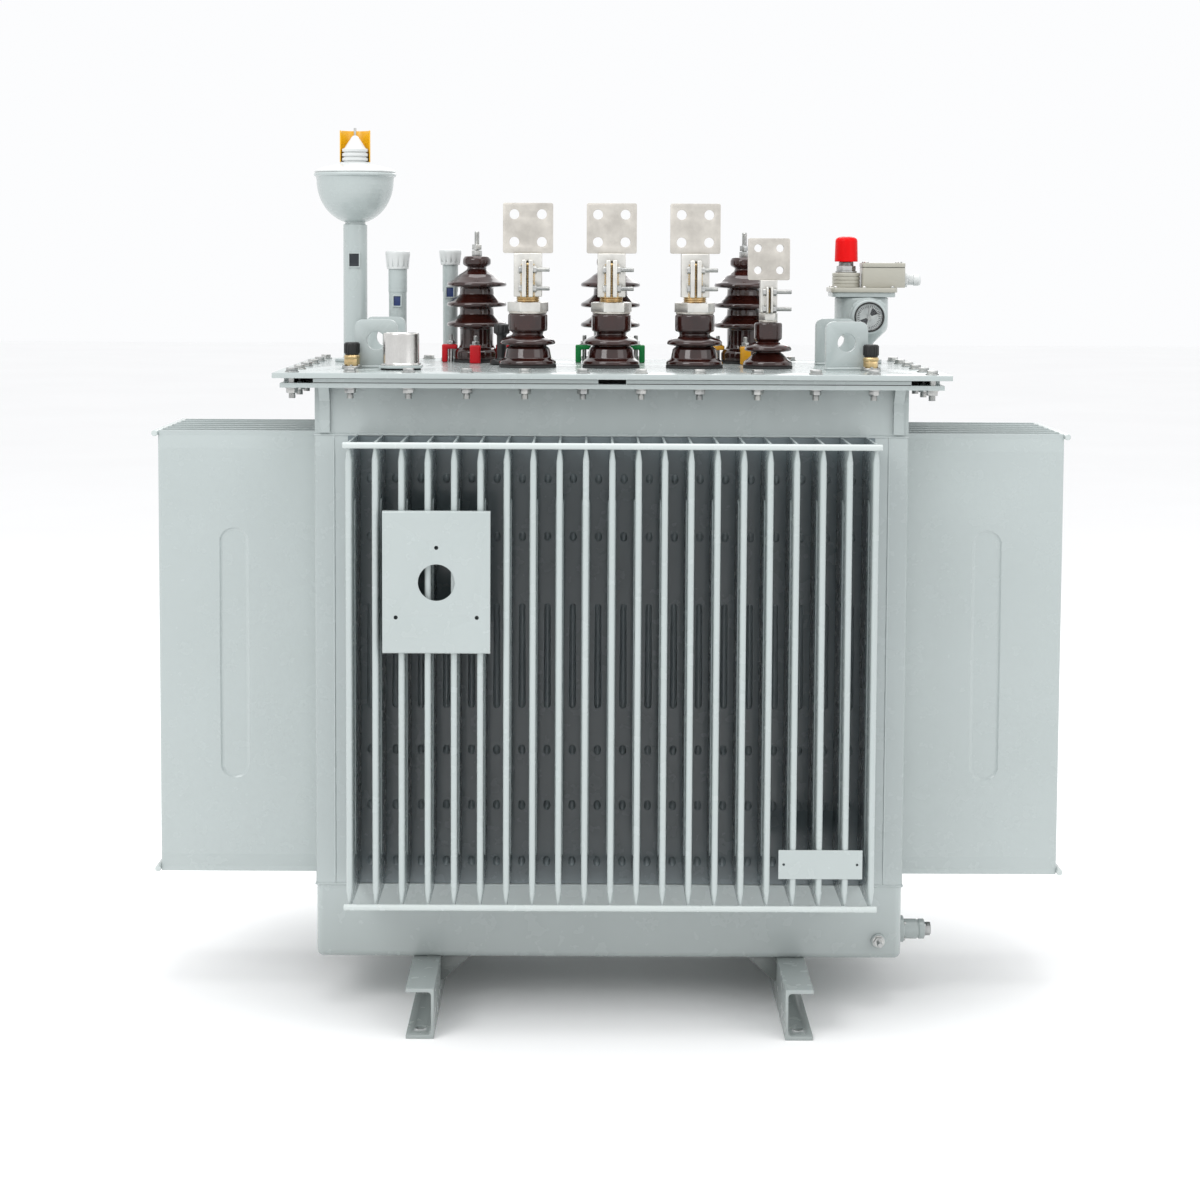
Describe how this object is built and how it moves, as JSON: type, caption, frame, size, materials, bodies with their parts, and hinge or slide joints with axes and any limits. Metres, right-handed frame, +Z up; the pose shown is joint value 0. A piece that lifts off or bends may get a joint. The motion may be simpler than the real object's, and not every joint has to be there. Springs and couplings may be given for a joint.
{
  "type": "oil-filled distribution transformer",
  "caption": "Oil-filled distribution transformer with a corrugated fin tank, open porcelain bushings, relay and filler fittings on its lid, on steel skids.",
  "frame": {"origin": "on the floor, under the middle of the skids and tank", "axes": "+Z up, -Y towards the low-voltage front, +X to the right seen from the front"},
  "size_m": [1.642, 0.8, 1.5745],
  "materials": {
    "tank_paint": "gloss light grey paint",
    "gasket_rubber": "matt",
    "zinc_steel": "zinc plated",
    "porcelain": "glazed dark brown",
    "tinned_metal": "tinned",
    "stud_brass": "machined",
    "red_plastic": "gloss red",
    "green_plastic": "gloss green",
    "yellow_plastic": "gloss yellow",
    "white_plastic": "gloss white",
    "blue_float": "dark blue",
    "bright_cup": "polished",
    "valve_steel": "turned",
    "black_plastic": "moulded black",
    "box_paint": "beige powder coat",
    "insulating_board": "pressed board",
    "core_steel": "stacked sheet edges",
    "clamp_steel": "primer",
    "copper_winding": "enamelled copper"
  },
  "bodies": {
    "transformer": {"tank_base": "tank_paint", "front_wall": "tank_paint", "rear_wall": "tank_paint", "left_wall": "tank_paint", "right_wall": "tank_paint", "tank_neck": "tank_paint", "tank_flange": "tank_paint", "neck_gussets": "tank_paint", "fin_rods": "tank_paint", "skid_left": "tank_paint", "skid_right": "tank_paint", "lid": "tank_paint", "lid_spacers": "tank_paint", "lifting_lugs": "tank_paint", "vent_pot": "tank_paint", "filler_pipes": "tank_paint", "relay_body": "tank_paint", "lid_gasket": "gasket_rubber", "bushing_gaskets": "gasket_rubber", "lid_fasteners": "zinc_steel", "terminal_screws": "zinc_steel", "hv_clamp_bolts": "zinc_steel", "earth_terminal": "zinc_steel", "hv_studs": "zinc_steel", "lv_porcelain": "porcelain", "hv_porcelain": "porcelain", "lv_terminals": "tinned_metal", "instrument_plate": "tinned_metal", "nameplate": "tinned_metal", "bushing_nuts": "tinned_metal", "lv_studs": "stud_brass", "pocket_fittings": "stud_brass", "hv_claws_red": "red_plastic", "hv_claws_green": "green_plastic", "hv_claws_yellow": "yellow_plastic", "vent_guard": "yellow_plastic", "vent_lid": "white_plastic", "relief_cup": "bright_cup", "drain_valve": "valve_steel", "relay_dial": "black_plastic", "relay_box": "box_paint", "tap_switch": "insulating_board", "core": "core_steel", "core_clamps": "clamp_steel", "lv_coils": "copper_winding", "hv_coils": "copper_winding", "winding_leads": "copper_winding"},
    "tap_spindle": {"tap_shaft": "valve_steel", "tap_knob": "black_plastic"},
    "contact_bar": {"tap_bar": "insulating_board"},
    "cap_left": {"filler_cap_left": "white_plastic"},
    "cap_right": {"filler_cap_right": "white_plastic"},
    "pocket_lid_left": {"pocket_cap_left": "black_plastic"},
    "pocket_lid_right": {"pocket_cap_right": "black_plastic"},
    "red_cap": {"relay_cap": "red_plastic"},
    "tell_tale": {"vent_pin": "zinc_steel"},
    "oil_float": {"level_float": "blue_float"},
    "pointer": {"relay_pointer": "zinc_steel"},
    "relief_disc": {"relief_valve": "valve_steel"},
    "plug": {"drain_plug": "stud_brass"}
  },
  "joints": [
    {"name": "tap_knob_turn", "type": "hinge", "parent": "transformer", "child": "tap_spindle", "pos_m": [-0.203, 0.04, 1.132], "axis": [0, 0, 1], "range_deg": [-72, 72]},
    {"name": "contact_bar_slide", "type": "slide", "parent": "transformer", "child": "contact_bar", "axis": [1, 0, 0], "range_m": [-0.0202, 0.0202]},
    {"name": "filler_cap_left_lift", "type": "slide", "parent": "transformer", "child": "cap_left", "axis": [0, 0, 1], "range_m": [0, 0.05]},
    {"name": "filler_cap_right_lift", "type": "slide", "parent": "transformer", "child": "cap_right", "axis": [0, 0, 1], "range_m": [0, 0.05]},
    {"name": "pocket_cap_left_lift", "type": "slide", "parent": "transformer", "child": "pocket_lid_left", "axis": [0, 0, 1], "range_m": [0, 0.04]},
    {"name": "pocket_cap_right_lift", "type": "slide", "parent": "transformer", "child": "pocket_lid_right", "axis": [0, 0, 1], "range_m": [0, 0.04]},
    {"name": "relay_cap_lift", "type": "slide", "parent": "transformer", "child": "red_cap", "axis": [0, 0, 1], "range_m": [0, 0.05]},
    {"name": "tell_tale_rise", "type": "slide", "parent": "transformer", "child": "tell_tale", "axis": [0, 0, 1], "range_m": [0, 0.012]},
    {"name": "float_rise", "type": "slide", "parent": "transformer", "child": "oil_float", "axis": [0, 0, 1], "range_m": [-0.012, 0.012]},
    {"name": "pointer_turn", "type": "hinge", "parent": "transformer", "child": "pointer", "pos_m": [0.489, 0.115, 1.222], "axis": [0, 1, 0], "range_deg": [-60, 60]},
    {"name": "relief_disc_rise", "type": "slide", "parent": "transformer", "child": "relief_disc", "axis": [0, 0, 1], "range_m": [0, 0.008], "stiffness_N_per_m": 3000, "springref_m": -0.01},
    {"name": "drain_plug_pull", "type": "slide", "parent": "transformer", "child": "plug", "axis": [1, 0, 0], "range_m": [0, 0.04]}
  ],
  "couplings": [
    {"joint": "contact_bar_slide", "follows": "tap_knob_turn", "m_per_rad": -0.016}
  ]
}
